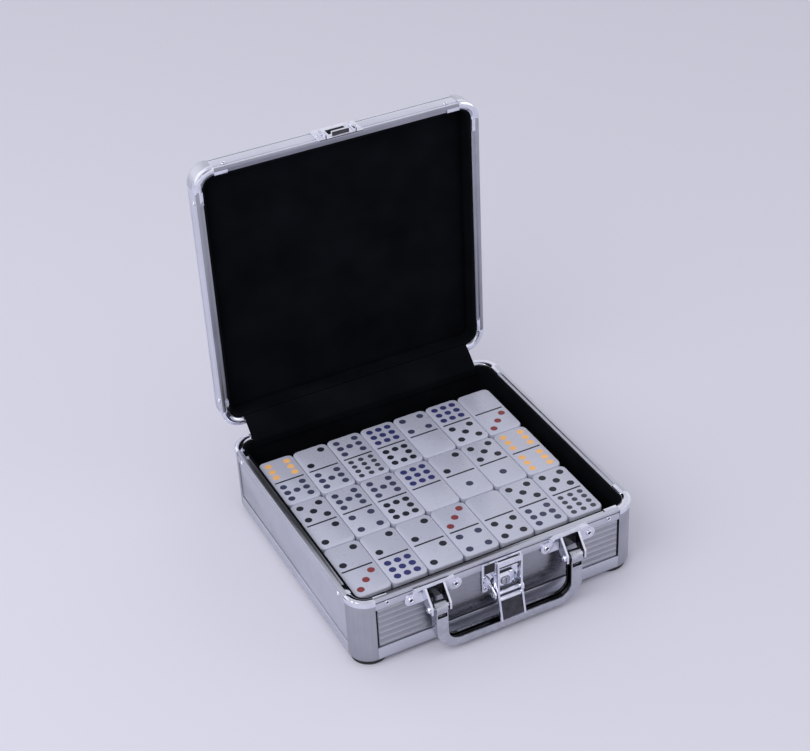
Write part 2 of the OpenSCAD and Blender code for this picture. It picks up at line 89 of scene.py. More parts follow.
def objectPlace(tree, scale=(1, 1, 1)):
    where = addNode(tree, "ShaderNodeTexCoord")
    mapping = addNode(tree, "ShaderNodeMapping")
    mapping.inputs["Scale"].default_value = scale
    tree.links.new(where.outputs["Object"], mapping.inputs["Vector"])
    return mapping.outputs["Vector"]


def noiseOn(tree, place, scale, detail=3.0, roughness=0.5):
    noise = addNode(tree, "ShaderNodeTexNoise", Scale=scale, Detail=detail)
    noise.inputs["Roughness"].default_value = roughness
    tree.links.new(place, noise.inputs["Vector"])
    return noise.outputs["Fac"]


def toRange(tree, factor, low, high, fromLow=0.3, fromHigh=0.7):
    spread = addNode(tree, "ShaderNodeMapRange")
    spread.inputs["From Min"].default_value = fromLow
    spread.inputs["From Max"].default_value = fromHigh
    spread.inputs["To Min"].default_value = low
    spread.inputs["To Max"].default_value = high
    tree.links.new(factor, spread.inputs["Value"])
    return spread.outputs["Result"]


def tint(tree, factor, dark, light):
    mix = addNode(tree, "ShaderNodeMix", data_type="RGBA")
    mix.inputs["A"].default_value = (*dark, 1)
    mix.inputs["B"].default_value = (*light, 1)
    tree.links.new(factor, mix.inputs["Factor"])
    return mix.outputs["Result"]


def addBump(tree, shader, height, distance, strength=1.0):
    bump = addNode(tree, "ShaderNodeBump", Strength=strength, Distance=distance)
    tree.links.new(height, bump.inputs["Height"])
    tree.links.new(bump.outputs["Normal"], shader.inputs["Normal"])


def cool(grey):
    return grey, grey * 1.02, grey * 1.14      # the faint lilac of the photographed metal


metalLook = {
    "railGrey": (0.54, 0.64),
    # darker copy of the rail grey for the base's corner posts, painted shade
    "postGrey": (0.36, 0.46),
    "sideGrey": (0.53, 0.63),
    # lighter copy of the rail grey for the lid, painted light
    "lidGrey": (0.68, 0.78),
    # darker copy for the ribbed fields of the front, painted shade
    "ribShadowGrey": (0.35, 0.43),
    # the front sheet is smoother, and darker than the side sheet as painted shade
    "frontGrey": (0.26, 0.34),
    # darker copy for the lid rim's front faces, painted shade
    "rimGrey": (0.35, 0.43),
    "chromeGrey": (0.72, 0.86),
    "handleGrey": (0.46, 0.56),
    "brushFine": 1400,      # scale of the strokes across the brushing
    "brushLong": 12,        # and along it
    "satinRough": (0.28, 0.42),
    "smoothRough": (0.20, 0.30),
    "chromeRough": (0.07, 0.15),
    "paintedShadeGrey": (0.05, 0.09),      # painted shade on plated faces
    "shadeRough": (0.14, 0.22),
    "hingeGrey": (0.42, 0.55),
    "hingeRough": (0.26, 0.38),
    "lockGrey": (0.36, 0.48),
    "cloudScale": 45.0,
    "cloudShare": 0.6,      # of the clouds in a brushed colour, the rest is the strokes
    "spotScale": 220.0,
    "grainScale": 900.0,
    "strokeBump": (0.02 * mm, 0.35),        # depth and strength
    "grainBump": (0.01 * mm, 0.3),
}


# long strokes along one axis over soft clouds
def brushedAluminium(name, along, greys, rough):
    mat, tree, shader = newMaterial(name)
    fine, coarse = metalLook["brushFine"], metalLook["brushLong"]
    scale = tuple(coarse if axis == along else fine for axis in "xyz")
    strokes = noiseOn(tree, objectPlace(tree, scale), 1.0, 2.0)
    cloud = noiseOn(tree, objectPlace(tree), metalLook["cloudScale"])
    cloudShare = metalLook["cloudShare"]
    both = addNode(tree, "ShaderNodeMath", operation="ADD")
    tree.links.new(toRange(tree, cloud, 0, cloudShare), both.inputs[0])
    tree.links.new(toRange(tree, strokes, 0, 1 - cloudShare), both.inputs[1])
    colour = tint(tree, both.outputs[0], cool(greys[0]), cool(greys[1]))
    tree.links.new(colour, shader.inputs["Base Color"])
    tree.links.new(toRange(tree, strokes, *rough), shader.inputs["Roughness"])
    shader.inputs["Metallic"].default_value = 1
    addBump(tree, shader, strokes, *metalLook["strokeBump"])
    return mat


def platedMetal(name, greys, rough):
    mat, tree, shader = newMaterial(name)
    place = objectPlace(tree)
    spots = noiseOn(tree, place, metalLook["spotScale"], 4.0)
    colour = tint(tree, toRange(tree, spots, 0, 1), cool(greys[0]), cool(greys[1]))
    tree.links.new(colour, shader.inputs["Base Color"])
    tree.links.new(toRange(tree, spots, *rough), shader.inputs["Roughness"])
    shader.inputs["Metallic"].default_value = 1
    addBump(tree, shader, noiseOn(tree, place, metalLook["grainScale"]), *metalLook["grainBump"])
    return mat


feltLook = {
    "dark": (0.0015, 0.002, 0.003),
    "light": (0.004, 0.005, 0.007),
    "patchScale": 35.0,
    "fibreScale": 1800.0,
    "fibreBump": (0.3 * mm, 0.6),
    "roughness": 0.95,
    "specular": 0.05,
    "sheen": 0.006,
    "sheenRough": 0.5,
}


def blackFelt(name):
    mat, tree, shader = newMaterial(name)
    place = objectPlace(tree)
    fibres = noiseOn(tree, place, feltLook["fibreScale"], 4.0, 0.7)
    patches = noiseOn(tree, place, feltLook["patchScale"])
    colour = tint(tree, toRange(tree, patches, 0, 1), feltLook["dark"], feltLook["light"])
    tree.links.new(colour, shader.inputs["Base Color"])
    shader.inputs["Roughness"].default_value = feltLook["roughness"]
    shader.inputs["Specular IOR Level"].default_value = feltLook["specular"]
    shader.inputs["Sheen Weight"].default_value = feltLook["sheen"]
    shader.inputs["Sheen Roughness"].default_value = feltLook["sheenRough"]
    addBump(tree, shader, fibres, *feltLook["fibreBump"])
    return mat


# each finish has a dark and a light colour and a range of roughness
plasticLook = {
    "rubber": ((0.010, 0.010, 0.012), (0.020, 0.020, 0.023), (0.55, 0.75)),
    # painted shade for grooves, seams, slots and hollows
    "grime": ((0.018, 0.020, 0.026), (0.035, 0.037, 0.045), (0.6, 0.8)),
    "tile": ((0.495, 0.505, 0.61), (0.515, 0.525, 0.63), (0.26, 0.32)),
    "patchScale": 45.0,
    "glossScale": 160.0,
    "grain": (500.0, 0.02 * mm),        # scale and depth
    "tileGrain": (120.0, 0.006 * mm),
    "grainStrength": 0.4,
}


def plainPlastic(name, dark, light, rough, grain=plasticLook["grain"]):
    mat, tree, shader = newMaterial(name)
    place = objectPlace(tree)
    patches = toRange(tree, noiseOn(tree, place, plasticLook["patchScale"]), 0, 1)
    gloss = toRange(tree, noiseOn(tree, place, plasticLook["glossScale"]), *rough)
    tree.links.new(tint(tree, patches, dark, light), shader.inputs["Base Color"])
    tree.links.new(gloss, shader.inputs["Roughness"])
    addBump(tree, shader, noiseOn(tree, place, grain[0]), grain[1], plasticLook["grainStrength"])
    return mat


satin = metalLook["satinRough"]
# one finish for each way a rail or sheet can lie; the lid's set is a lighter copy, painted light
railAlong, sideAlong, litLidAlong = (
    {axis: brushedAluminium(name + axis.upper(), axis, metalLook[greys], satin) for axis in "xyz"}
    for name, greys in (("railSatin", "railGrey"), ("sideSheet", "sideGrey"),
                        ("lidSatin", "lidGrey")))
postMetal = brushedAluminium("postMetal", "z", metalLook["postGrey"], satin)
ribSheet = brushedAluminium("ribSheet", "x", metalLook["ribShadowGrey"], satin)
frontSheet = brushedAluminium("frontSheet", "x", metalLook["frontGrey"], metalLook["smoothRough"])
rimMetal = brushedAluminium("rimMetal", "x", metalLook["rimGrey"], satin)
brightPlate = platedMetal("brightPlate", metalLook["chromeGrey"], metalLook["chromeRough"])
handlePlate = platedMetal("handlePlate", metalLook["handleGrey"], metalLook["smoothRough"])
shadedPlate = platedMetal("shadedPlate", metalLook["paintedShadeGrey"], metalLook["shadeRough"])
hingeSteel = platedMetal("hingeSteel", metalLook["hingeGrey"], metalLook["hingeRough"])
lockNickel = platedMetal("lockNickel", metalLook["lockGrey"], metalLook["smoothRough"])
liningFelt = blackFelt("liningFelt")
blackRubber = plainPlastic("blackRubber", *plasticLook["rubber"])
# painted shade: a near-black finish for grooves, seams, slots, rivet cores and pin hollows
seamGrime = plainPlastic("seamGrime", *plasticLook["grime"])
tileWhite = plainPlastic("tileWhite", *plasticLook["tile"], plasticLook["tileGrain"])
print("materials ready")


def linkMesh(mesh, name):
    obj = bpy.data.objects.new(name, mesh)
    bpy.context.scene.collection.objects.link(obj)
    return obj


def meshFrom(name, verts, faces):
    mesh = bpy.data.meshes.new(name)
    mesh.from_pydata([tuple(v) for v in verts], [], faces)
    mesh.update()
    return mesh


def smoothFaces(mesh, angle=32):
    mesh.polygons.foreach_set("use_smooth", [True] * len(mesh.polygons))
    mesh.set_sharp_from_angle(angle=math.radians(angle))


def paint(obj, mat):
    obj.data.materials.clear()
    obj.data.materials.append(mat)


# cuts the faces at one plane across an axis, so that a finish can end there
def splitAt(obj, axis, value):
    form = bmesh.new()
    form.from_mesh(obj.data)
    normal = [0, 0, 0]
    normal[axis] = 1
    bmesh.ops.bisect_plane(form, geom=form.verts[:] + form.edges[:] + form.faces[:], dist=1e-6,
                           plane_co=[value * part for part in normal], plane_no=normal)
    form.to_mesh(obj.data)
    form.free()


def paintWhere(obj, mat, wanted):
    obj.data.materials.append(mat)
    for face in obj.data.polygons:
        if wanted(face.center, face.normal):
            face.material_index = len(obj.data.materials) - 1


def bake(obj):
    view = obj.evaluated_get(bpy.context.evaluated_depsgraph_get())
    mesh = bpy.data.meshes.new_from_object(view)
    obj.modifiers.clear()
    old = obj.data
    obj.data = mesh
    bpy.data.meshes.remove(old)
    mesh.name = obj.name
    return obj


def bevelled(obj, edge, steps, angle):
    bevel = obj.modifiers.new("edge", "BEVEL")
    bevel.width = edge
    bevel.segments = steps
    bevel.limit_method = "ANGLE"
    bevel.angle_limit = math.radians(angle)
    bake(obj)
    smoothFaces(obj.data)
    return obj


# the body a piece rides, its slot, which is not used, and the nodes it stands for
def settle(obj, body, slot, *replaced):
    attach(obj, body)
    if replaced:
        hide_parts(*replaced)


def camelName(node):
    first, *rest = node.split("_")
    return first + "".join(word.capitalize() for word in rest)


# a copy of a solid with its edges rounded and its own finish, in place of the plain node
def softened(node, mat, edge, steps=2, angle=30):
    mesh = nodes[node].data.copy()
    form = bmesh.new()
    form.from_mesh(mesh)
    bmesh.ops.remove_doubles(form, verts=form.verts, dist=weldWithin)
    bmesh.ops.dissolve_limit(form, angle_limit=math.radians(flatWithin), verts=form.verts,
                             edges=form.edges)
    form.to_mesh(mesh)
    form.free()
    obj = bevelled(linkMesh(mesh, camelName(node)), edge, steps, angle)
    paint(obj, mat)
    settle(obj, bodyOf[node], slotOf[node], node)
    return obj


def newTree(name, *inputs):
    tree = bpy.data.node_groups.new(name, "GeometryNodeTree")
    tree.interface.new_socket("Geometry", in_out="INPUT", socket_type="NodeSocketGeometry")
    for label, kind, value in inputs:
        socket = tree.interface.new_socket(label, in_out="INPUT", socket_type=kind)
        if value is not None:
            socket.default_value = value
    tree.interface.new_socket("Geometry", in_out="OUTPUT", socket_type="NodeSocketGeometry")
    return tree, tree.nodes.new("NodeGroupInput"), tree.nodes.new("NodeGroupOutput")


def runTree(name, mesh, tree, values):
    obj = linkMesh(mesh, name)
    mod = obj.modifiers.new(tree.name, "NODES")
    mod.node_group = tree
    for item in tree.interface.items_tree:
        if item.item_type == "SOCKET" and item.in_out == "INPUT" and item.name in values:
            mod[item.identifier] = values[item.name]
    return bake(obj)


# the last two steps of every tree: real instances, then the finish
def coated(tree, start, geometry, label="Finish"):
    real = tree.nodes.new("GeometryNodeRealizeInstances")
    coat = tree.nodes.new("GeometryNodeSetMaterial")
    tree.links.new(geometry, real.inputs["Geometry"])
    tree.links.new(real.outputs["Geometry"], coat.inputs["Geometry"])
    tree.links.new(start.outputs[label], coat.inputs["Material"])
    return coat.outputs["Geometry"]


def readAttribute(tree, name, kind):
    read = tree.nodes.new("GeometryNodeInputNamedAttribute")
    read.data_type = kind
    read.inputs["Name"].default_value = name
    return read.outputs["Attribute"]


# a rolled ring round a core painted dark as the shade in its hollow, in shares of the rivet head's
# radius and height
rivetLook = {"roll": 0.27, "core": 0.52, "coreDeep": 0.7, "ringSteps": 20, "rollSteps": 8,
             "coreSteps": 16}


# one hollow rivet on each point, turned outward and as large as the solid's
def rivetTree():
    tree, start, end = newTree("hollowRivets",
                               ("Roll", "NodeSocketFloat", rivetLook["roll"]),
                               ("Core", "NodeSocketFloat", rivetLook["core"]),
                               ("Finish", "NodeSocketMaterial", None),
                               ("Core finish", "NodeSocketMaterial", None))
    link = tree.links.new
    middle = addNode(tree, "ShaderNodeMath", operation="SUBTRACT")
    middle.inputs[0].default_value = 1
    link(start.outputs["Roll"], middle.inputs[1])
    path = addNode(tree, "GeometryNodeCurvePrimitiveCircle", Resolution=rivetLook["ringSteps"])
    link(middle.outputs[0], path.inputs["Radius"])
    section = addNode(tree, "GeometryNodeCurvePrimitiveCircle", Resolution=rivetLook["rollSteps"])
    link(start.outputs["Roll"], section.inputs["Radius"])
    ring = tree.nodes.new("GeometryNodeCurveToMesh")
    link(path.outputs["Curve"], ring.inputs["Curve"])
    link(section.outputs["Curve"], ring.inputs["Profile Curve"])
    steep = addNode(tree, "ShaderNodeMath", operation="DIVIDE")
    steep.inputs[0].default_value = 1
    link(start.outputs["Roll"], steep.inputs[1])
    stretch = addNode(tree, "ShaderNodeCombineXYZ", X=1, Y=1)
    link(steep.outputs[0], stretch.inputs["Z"])
    tall = tree.nodes.new("GeometryNodeTransform")
    link(ring.outputs["Mesh"], tall.inputs["Geometry"])
    link(stretch.outputs["Vector"], tall.inputs["Scale"])
    smooth = tree.nodes.new("GeometryNodeSetShadeSmooth")
    link(tall.outputs["Geometry"], smooth.inputs["Geometry"])
    core = addNode(tree, "GeometryNodeMeshCylinder", Vertices=rivetLook["coreSteps"],
                   Depth=rivetLook["coreDeep"])
    link(start.outputs["Core"], core.inputs["Radius"])
    points = tree.nodes.new("GeometryNodeMeshToPoints")
    link(start.outputs["Geometry"], points.inputs["Mesh"])
    turn = tree.nodes.new("FunctionNodeAlignRotationToVector")
    turn.axis = "Z"
    link(readAttribute(tree, "outward", "FLOAT_VECTOR"), turn.inputs["Vector"])
    size = readAttribute(tree, "headSize", "FLOAT_VECTOR")
    join = tree.nodes.new("GeometryNodeJoinGeometry")
    for piece, label in ((smooth.outputs["Geometry"], "Finish"),
                         (core.outputs["Mesh"], "Core finish")):
        place = tree.nodes.new("GeometryNodeInstanceOnPoints")
        link(points.outputs["Points"], place.inputs["Points"])
        link(piece, place.inputs["Instance"])
        link(turn.outputs["Rotation"], place.inputs["Rotation"])
        link(size, place.inputs["Scale"])
        link(coated(tree, start, place.outputs["Instances"], label), join.inputs["Geometry"])
    link(join.outputs["Geometry"], end.inputs["Geometry"])
    return tree


hollowRivets = rivetTree()


# the lowest and highest corner of each separate solid of a node
def solidBoxes(node):
    form = bmesh.new()
    form.from_mesh(nodes[node].data)
    bmesh.ops.remove_doubles(form, verts=form.verts, dist=weldWithin)
    seen, boxes = set(), []
    for first in form.verts:
        if first in seen:
            continue
        queue, members = [first], []
        seen.add(first)
        while queue:
            vert = queue.pop()
            members.append(vert.co.copy())
            for edge in vert.link_edges:
                other = edge.other_vert(vert)
                if other not in seen:
                    seen.add(other)
                    queue.append(other)
        boxes.append((Vector([min(v[i] for v in members) for i in range(3)]),
                      Vector([max(v[i] for v in members) for i in range(3)])))
    form.free()
    return boxes


# a rivet points away from the case's middle, along its shortest side
def outwardWay(centre, size):
    thin = min(range(3), key=lambda i: size[i])
    way = Vector((0, 0, 0))
    way[thin] = 1 if centre[thin] > openMiddle[thin] else -1
    return way


def rivets(node):
    spots, ways, sizes = [], [], []
    for low, high in solidBoxes(node):
        centre, size = (low + high) / 2, high - low
        way = outwardWay(centre, size)
        thick, radius = abs(size.dot(way)), max(size) / 2
        spots.append(centre - way * thick / 2)
        ways += list(way)
        sizes += (radius, radius, thick)
    mesh = meshFrom(camelName(node), spots, [])
    mesh.attributes.new("outward", "FLOAT_VECTOR", "POINT").data.foreach_set("vector", ways)
    mesh.attributes.new("headSize", "FLOAT_VECTOR", "POINT").data.foreach_set("vector", sizes)
    obj = runTree(camelName(node), mesh, hollowRivets,
                  {"Finish": brightPlate, "Core finish": seamGrime})
    settle(obj, bodyOf[node], slotOf[node], node)


for node in ("base_rivets", "lid_rivets", "handle_rivets", "latch_rivets", "catch_rivets"):
    rivets(node)
print("rivets placed")


shellLook = {
    "railEdge": 0.18 * mm,
    "capEdge": 0.12 * mm,
    "footEdge": 0.5 * mm,
    "rimGroove": (2.2 * mm, 2.9 * mm),      # below the rim
    "lidLine": (5.4 * mm, 6.0 * mm),        # below the lid's outer face
    "sunk": (0.12 * mm, 0.8 * mm),          # depth at which a face counts as sunk
    "rimSkin": 1 * mm,                      # how near a rim's face counts as that face
    "innerLip": 2 * mm,                     # the lid rim's part with the darker finish, painted shade
    "bareRim": 3.3 * mm,                    # bare metal on the side rims, the rest is felt
}


# paints shade on the faces sunk into one outer face, where they lie in the given bands
def darkenLines(obj, node, side, sign, across, bands):
    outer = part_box(node)[1 if sign > 0 else 0][side]
    shallow, deep = shellLook["sunk"]

    def isSunk(centre, normal):
        depth = sign * (outer - centre[side])
        return shallow < depth < deep and any(a < centre[across] < b for a, b in bands)

    paintWhere(obj, seamGrime, isSunk)


# the lining's felt is turned over the inner part of the rims at both sides
def feltEdge(obj, sign, isRim):
    cut = caseRight - shellLook["bareRim"]
    splitAt(obj, 0, sign * cut)
    paintWhere(obj, liningFelt,
               lambda centre, normal: sign * centre.x < cut and isRim(centre, normal))


for place, (side, sign, along) in {"front": (1, -1, "x"), "back": (1, 1, "x"), "left": (0, -1, "y"),
                                   "right": (0, 1, "y")}.items():
    softened("bottom_rail_" + place, railAlong[along], shellLook["railEdge"])
    node = "rim_rail_" + place
    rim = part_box(node)[1].z
    rail = softened(node, railAlong[along], shellLook["railEdge"])
    darkenLines(rail, node, side, sign, 2,
                [(rim - shellLook["rimGroove"][1], rim - shellLook["rimGroove"][0])])
    if side == 0:
        feltEdge(rail, sign, lambda centre, normal: centre.z > rim - shellLook["rimSkin"])

# the open lid stands upright, so its rim faces the front
for place, (side, sign, along) in {"front": (2, 1, "x"), "back": (2, -1, "x"), "left": (0, -1, "z"),
                                   "right": (0, 1, "z")}.items():
    node = "lid_rail_" + place
    rim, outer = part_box(node)[0].y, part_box(node)[1].y
    rail = softened(node, litLidAlong[along], shellLook["railEdge"])
    darkenLines(rail, node, side, sign, 1,
                [(rim + shellLook["rimGroove"][0], rim + shellLook["rimGroove"][1]),
                 (outer - shellLook["lidLine"][1], outer - shellLook["lidLine"][0])])
    # painted shade on the lid rim's faces turned to the front
    paintWhere(rail, rimMetal, lambda centre, normal: (
        normal.y < -0.7 and centre.y < rim + shellLook["innerLip"]))
    if side == 0:
        feltEdge(rail, sign, lambda centre, normal: centre.y < rim + shellLook["rimSkin"])

for corner in ("front_left", "front_right", "back_left", "back_right"):
    softened("base_post_" + corner, postMetal, shellLook["railEdge"])
    softened("lid_post_" + corner, sideAlong["y"], shellLook["railEdge"])
softened("base_corner_caps", brightPlate, shellLook["capEdge"])
softened("lid_corner_caps", brightPlate, shellLook["capEdge"])
softened("base_bottom_panel", sideAlong["x"], shellLook["railEdge"])
softened("lid_top_panel", litLidAlong["x"], shellLook["railEdge"])
softened("feet", blackRubber, shellLook["footEdge"], 3)


panelLook = {
    "behindRail": 0.6 * mm,
    "backThick": 1.4 * mm,
    "seamWide": 1.2 * mm,
    "edge": 0.15 * mm,
    "stripProud": 0.05 * mm,        # the flat strips between the ribs, off the front panel
    "stripBack": 1.5 * mm,
}


def addBlock(form, lowest, highest, matIndex):
    made = bmesh.ops.create_cube(form, size=1)
    size = Vector(highest) - Vector(lowest)
    move = Matrix.Translation((Vector(lowest) + Vector(highest)) / 2) @ Matrix.Diagonal((*size, 1))
    bmesh.ops.transform(form, matrix=move, verts=made["verts"])
    for face in {face for vert in made["verts"] for face in vert.link_faces}:
        face.material_index = matIndex


# a sheet on a slightly larger back painted dark, so a painted shadow line shows round its ends and
# foot
def sidePanel(node, mat, side, sign, outer):
    lowest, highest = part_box(node)
    along = 1 - side
    outer -= sign * panelLook["behindRail"]
    inner = (lowest if sign > 0 else highest)[side]
    backEnd = inner + sign * panelLook["backThick"]
    form = bmesh.new()
    for deep, near, inset, matIndex in ((inner, backEnd, 0, 1),
                                        ((inner + backEnd) / 2, outer, panelLook["seamWide"], 0)):
        low, high = lowest.copy(), highest.copy()
        low[side], high[side] = min(deep, near), max(deep, near)
        low[along] += inset
        high[along] -= inset
        low.z += inset
        addBlock(form, low, high, matIndex)
    mesh = bpy.data.meshes.new(camelName(node))
    form.to_mesh(mesh)
    form.free()
    mesh.materials.append(mat)
    mesh.materials.append(seamGrime)
    panel = bevelled(linkMesh(mesh, camelName(node)), panelLook["edge"], 2, 30)
    settle(panel, "base", slotOf[node], node)


# the front panel's darker sheet is painted shade
sidePanel("base_front_panel", frontSheet, 1, -1, caseFront)
sidePanel("base_back_panel", sideAlong["x"], 1, 1, caseBack)
sidePanel("base_left_panel", sideAlong["y"], 0, -1, -caseRight)
sidePanel("base_right_panel", sideAlong["y"], 0, 1, caseRight)


ribbedFields = {
    "ribCount": 7,
    "ribOut": 0.45 * mm,
    "ribRadius": 2.0 * mm,
    "ribSides": 48,
    "fieldInner": 47.5 * mm,
    "fieldOuter": 84.4 * mm,
}


# a row of bars upward from each point, one row for each field
def ribTree():
    tree, start, end = newTree("panelRibs",
                               ("Rib count", "NodeSocketInt", 7),
                               ("Rib pitch", "NodeSocketFloat", 4.4 * mm),
                               ("Rib length", "NodeSocketFloat", 37 * mm),
                               ("Rib radius", "NodeSocketFloat", 2 * mm),
                               ("Finish", "NodeSocketMaterial", None))
    link = tree.links.new
    rows = tree.nodes.new("GeometryNodeMeshLine")
    rows.mode = "OFFSET"
    step = tree.nodes.new("ShaderNodeCombineXYZ")
    link(start.outputs["Rib count"], rows.inputs["Count"])
    link(start.outputs["Rib pitch"], step.inputs["Z"])
    link(step.outputs["Vector"], rows.inputs["Offset"])
    bar = addNode(tree, "GeometryNodeMeshCylinder", Vertices=ribbedFields["ribSides"])
    link(start.outputs["Rib radius"], bar.inputs["Radius"])
    link(start.outputs["Rib length"], bar.inputs["Depth"])
    lie = tree.nodes.new("GeometryNodeTransform")
    lie.inputs["Rotation"].default_value = (0, math.pi / 2, 0)
    link(bar.outputs["Mesh"], lie.inputs["Geometry"])
    onRows = tree.nodes.new("GeometryNodeInstanceOnPoints")
    link(rows.outputs["Mesh"], onRows.inputs["Points"])
    link(lie.outputs["Geometry"], onRows.inputs["Instance"])
    onFields = tree.nodes.new("GeometryNodeInstanceOnPoints")
    link(start.outputs["Geometry"], onFields.inputs["Points"])
    link(onRows.outputs["Instances"], onFields.inputs["Instance"])
    link(coated(tree, start, onFields.outputs["Instances"]), end.inputs["Geometry"])
    return tree


low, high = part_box("base_front_panel")
ribPitch = (high.z - low.z) / ribbedFields["ribCount"]
fieldX = (ribbedFields["fieldInner"] + ribbedFields["fieldOuter"]) / 2
ribAxisY = caseFront + panelLook["behindRail"] - ribbedFields["ribOut"] + ribbedFields["ribRadius"]
fieldSpots = [(side * fieldX, ribAxisY, low.z + ribPitch / 2) for side in (-1, 1)]
ribs = runTree("baseFrontRibs", meshFrom("baseFrontRibs", fieldSpots, []), ribTree(), {
    "Rib count": ribbedFields["ribCount"],
    "Rib pitch": ribPitch,
    "Rib length": ribbedFields["fieldOuter"] - ribbedFields["fieldInner"],
    "Rib radius": ribbedFields["ribRadius"],
    "Finish": ribSheet,
})
smoothFaces(ribs.data)
settle(ribs, "base", slotOf["base_front_panel"])

# the flat strips between the ribs share their finish
fieldLow = low.z + panelLook["seamWide"] + panelLook["edge"]
strips = bmesh.new()
for side in (-1, 1):
    ends = sorted((side * ribbedFields["fieldInner"], side * ribbedFields["fieldOuter"]))
    stripFront = caseFront + panelLook["behindRail"] - panelLook["stripProud"]
    addBlock(strips, (ends[0], stripFront, fieldLow),
             (ends[1], caseFront + panelLook["stripBack"], high.z), 0)
stripMesh = bpy.data.meshes.new("baseFrontFields")
strips.to_mesh(stripMesh)
strips.free()
fields = linkMesh(stripMesh, "baseFrontFields")
paint(fields, ribSheet)
settle(fields, "base", slotOf["base_front_panel"])
print("shell ready")


liningLook = {
    "edge": 0.9 * mm,
    "padRise": 1.6 * mm,
    "padEdge": 3 * mm,
    "padInset": 2.6 * mm,
    "padBehind": 2 * mm,        # into the felt, from the lid's sheet
    "ripple": 0.25 * mm,
    "waveCount": 4,
    "waveTurns": (20, 70),      # radians over the whole width
    "waveStart": 6.3,
    "steps": 72,
}


def gridFaces(columns, rows):
    row = columns + 1
    corners = [j * row + i for j in range(rows) for i in range(columns)]
    return [(a, a + 1, a + row + 1, a + row) for a in corners]


for node in ("base_lining_floor", "base_lining_walls", "lid_lining"):
    softened(node, liningFelt, liningLook["edge"], 3, 40)


# the felt on the lid's inside swells a little off its sheet; it faces the front
def liningPad(name, lowest, highest, body, seed):
    rise, edge = liningLook["padRise"], liningLook["padEdge"]
    chance = random.Random(seed)
    turns, steps = liningLook["waveTurns"], liningLook["steps"]
    waves = [(chance.uniform(*turns), chance.uniform(*turns),
              chance.uniform(0, liningLook["waveStart"])) for _ in range(liningLook["waveCount"])]
    wide, tall = highest.x - lowest.x, highest.z - lowest.z
    verts = []
    for j in range(steps + 1):
        for i in range(steps + 1):
            u, v = i / steps, j / steps
            inset = min(u * wide, (1 - u) * wide, v * tall, (1 - v) * tall)
            swell = math.sqrt(max(0.0, 1 - (1 - min(1.0, inset / edge)) ** 2))
            ripple = sum(math.sin(a * u + b * v + c) for a, b, c in waves) / len(waves)
            depth = swell * (rise + liningLook["ripple"] * ripple)
            verts.append((lowest.x + u * wide, highest.y - depth, lowest.z + v * tall))
    mesh = meshFrom(name, verts, gridFaces(steps, steps))
    form = bmesh.new()      # closes the back and turns the faces outward
    form.from_mesh(mesh)
    bmesh.ops.edgeloop_fill(form, edges=[edge for edge in form.edges if edge.is_boundary])
    bmesh.ops.recalc_face_normals(form, faces=form.faces)
    if form.calc_volume(signed=True) < 0:
        bmesh.ops.reverse_faces(form, faces=form.faces)
    form.to_mesh(mesh)
    form.free()
    smoothFaces(mesh, 60)
    obj = linkMesh(mesh, name)
    paint(obj, liningFelt)
    settle(obj, body, slotOf["lid_lining"])


lidLow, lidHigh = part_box("lid_lining")
inset = liningLook["padInset"]
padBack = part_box("lid_top_panel")[0].y - liningLook["padBehind"]
liningPad("lidPad", lidLow + Vector((inset, 0, inset)),
          Vector((lidHigh.x - inset, padBack, lidHigh.z - inset)), "lid", 4)


# the cloth across the hinge, as a strip that hangs a little between its two seams
hingeCloth = {
    "thick": 0.7 * mm,
    "sag": 0.12 * mm,
    "pucker": 0.12 * mm,
    "puckerStep": 1.7,              # radians from one column to the next
    "foot": (0.5 * mm, 0.4 * mm),   # where the path starts, in and up from the solid's corner
    "bend": 5.4 * mm,               # where it leaves the wall of the base, up from there
    "head": (0.9 * mm, 0.6 * mm),   # where it ends, in and down from the far corner
    "across": 60,
    "along": 24,
}


def hingeStrip():
    lowest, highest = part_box("hinge_flap")
    wide = highest.x - lowest.x
    (footIn, footUp), (headIn, headDown) = hingeCloth["foot"], hingeCloth["head"]
    path = [Vector((0, lowest.y + footIn, lowest.z + footUp)),
            Vector((0, lowest.y + footIn, lowest.z + hingeCloth["bend"])),
            Vector((0, highest.y - headIn, highest.z - headDown))]
    upright, slope = (path[1] - path[0]).length, (path[2] - path[1]).length
    total = upright + slope
    verts = []
    steps, columns = hingeCloth["along"], hingeCloth["across"]
    for j in range(steps + 1):
        walked = total * j / steps
        part = max(0.0, (walked - upright) / slope)
        spot = path[1].lerp(path[2], part) if part else path[0].lerp(path[1], walked / upright)
        sag = hingeCloth["sag"] * math.sin(math.pi * part)
        for i in range(columns + 1):
            pucker = (hingeCloth["pucker"] * math.sin(i * hingeCloth["puckerStep"])
                      * math.sin(math.pi * j / steps))
            verts.append((lowest.x + wide * i / columns, spot.y - sag - pucker,
                          spot.z + sag + pucker))
    obj = linkMesh(meshFrom("hingeFlap", verts, gridFaces(columns, steps)), "hingeFlap")
    shell = obj.modifiers.new("cloth", "SOLIDIFY")
    shell.thickness = hingeCloth["thick"]
    shell.offset = 0
    bake(obj)
    smoothFaces(obj.data, 50)
    paint(obj, liningFelt)
    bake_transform(obj)
    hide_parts("hinge_flap")
    return round(wide, 4), round(total, 4)


print("lining ready; hinge cloth", hingeStrip())


tileLook = {
    "corner": 4 * mm,
    "cornerSteps": 5,
    "edge": 0.9 * mm,
    "edgeShare": 0.3,       # how far in and down the middle of a rounded edge lies
    "shift": 0.08 * mm,     # how far a tile lies out of line, each way
    "turn": math.radians(0.2),
    "barWide": 0.84,        # share of the tile's width
    "barThick": 1.3 * mm,
    "inkRise": 0.06 * mm,
    "pipSides": 16,
    "inkRough": (0.45, 0.6),
    "inkLighter": 1.2,      # the light colour of an ink's spread, as a factor of the dark one
}


